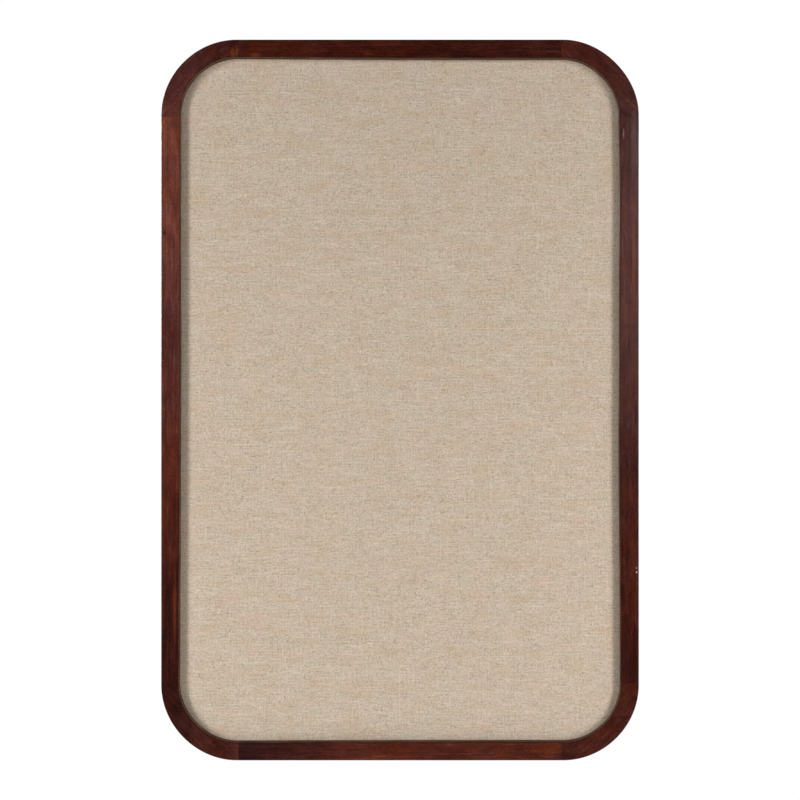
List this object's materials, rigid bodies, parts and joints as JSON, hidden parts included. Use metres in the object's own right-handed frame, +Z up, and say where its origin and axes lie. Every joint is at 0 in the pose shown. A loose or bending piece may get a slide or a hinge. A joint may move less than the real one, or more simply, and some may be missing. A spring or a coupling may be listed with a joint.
{
  "type": "pin board",
  "caption": "Wall-hung pin board: a rounded stained-wood frame, a recessed linen-covered soft panel held from behind, and swinging D-ring hangers on its back.",
  "frame": {"origin": "middle of the overall box, half way between the frame's face and the backs of the bumpers", "axes": "+Z up along the stiles as the board hangs upright, +X to the right seen from the front, -Y out of the linen face, +Y towards the wall"},
  "size_m": [0.505, 0.0306, 0.762],
  "materials": {
    "frame_wood": "satin",
    "dowel_wood": "matte",
    "linen": "matte",
    "softboard": "matte",
    "hardboard": "matte",
    "point_steel": "satin",
    "hanger_brass": "satin",
    "screw_brass": "satin",
    "bumper_rubber": "matte"
  },
  "bodies": {
    "board": {"rail_top": "frame_wood", "stile_right": "frame_wood", "rail_bottom": "frame_wood", "stile_left": "frame_wood", "corner_top_right": "frame_wood", "corner_bottom_right": "frame_wood", "corner_bottom_left": "frame_wood", "corner_top_left": "frame_wood", "dowel_top_1": "dowel_wood", "dowel_top_2": "dowel_wood", "dowel_top_3": "dowel_wood", "dowel_top_4": "dowel_wood", "dowel_right_1": "dowel_wood", "dowel_right_2": "dowel_wood", "dowel_right_3": "dowel_wood", "dowel_right_4": "dowel_wood", "dowel_bottom_1": "dowel_wood", "dowel_bottom_2": "dowel_wood", "dowel_bottom_3": "dowel_wood", "dowel_bottom_4": "dowel_wood", "dowel_left_1": "dowel_wood", "dowel_left_2": "dowel_wood", "dowel_left_3": "dowel_wood", "dowel_left_4": "dowel_wood", "linen_cover": "linen", "pin_core": "softboard", "back_board": "hardboard", "panel_point_top_1": "point_steel", "panel_point_top_2": "point_steel", "panel_point_right_1": "point_steel", "panel_point_right_2": "point_steel", "panel_point_right_3": "point_steel", "panel_point_bottom_1": "point_steel", "panel_point_bottom_2": "point_steel", "panel_point_left_1": "point_steel", "panel_point_left_2": "point_steel", "panel_point_left_3": "point_steel", "hanger_strap_top": "hanger_brass", "hanger_screw_top": "screw_brass", "hanger_strap_right": "hanger_brass", "hanger_screw_right": "screw_brass", "hanger_strap_bottom": "hanger_brass", "hanger_screw_bottom": "screw_brass", "hanger_strap_left": "hanger_brass", "hanger_screw_left": "screw_brass", "bumper_top_right": "bumper_rubber", "bumper_bottom_right": "bumper_rubber", "bumper_bottom_left": "bumper_rubber", "bumper_top_left": "bumper_rubber"},
    "ring_top": {"hanger_ring_top": "hanger_brass"},
    "ring_right": {"hanger_ring_right": "hanger_brass"},
    "ring_bottom": {"hanger_ring_bottom": "hanger_brass"},
    "ring_left": {"hanger_ring_left": "hanger_brass"}
  },
  "joints": [
    {"name": "ring_left_swing", "type": "hinge", "parent": "board", "child": "ring_left", "pos_m": [-0.2455, 0.01265, 0.231], "axis": [1, 0, 0], "range_deg": [0, 180]},
    {"name": "ring_right_swing", "type": "hinge", "parent": "board", "child": "ring_right", "pos_m": [0.2455, 0.01265, 0.231], "axis": [1, 0, 0], "range_deg": [0, 180]},
    {"name": "ring_top_swing", "type": "hinge", "parent": "board", "child": "ring_top", "pos_m": [-0.1025, 0.01265, 0.374], "axis": [0, 0, 1], "range_deg": [0, 180]},
    {"name": "ring_bottom_swing", "type": "hinge", "parent": "board", "child": "ring_bottom", "pos_m": [-0.1025, 0.01265, -0.374], "axis": [0, 0, 1], "range_deg": [0, 180]}
  ]
}
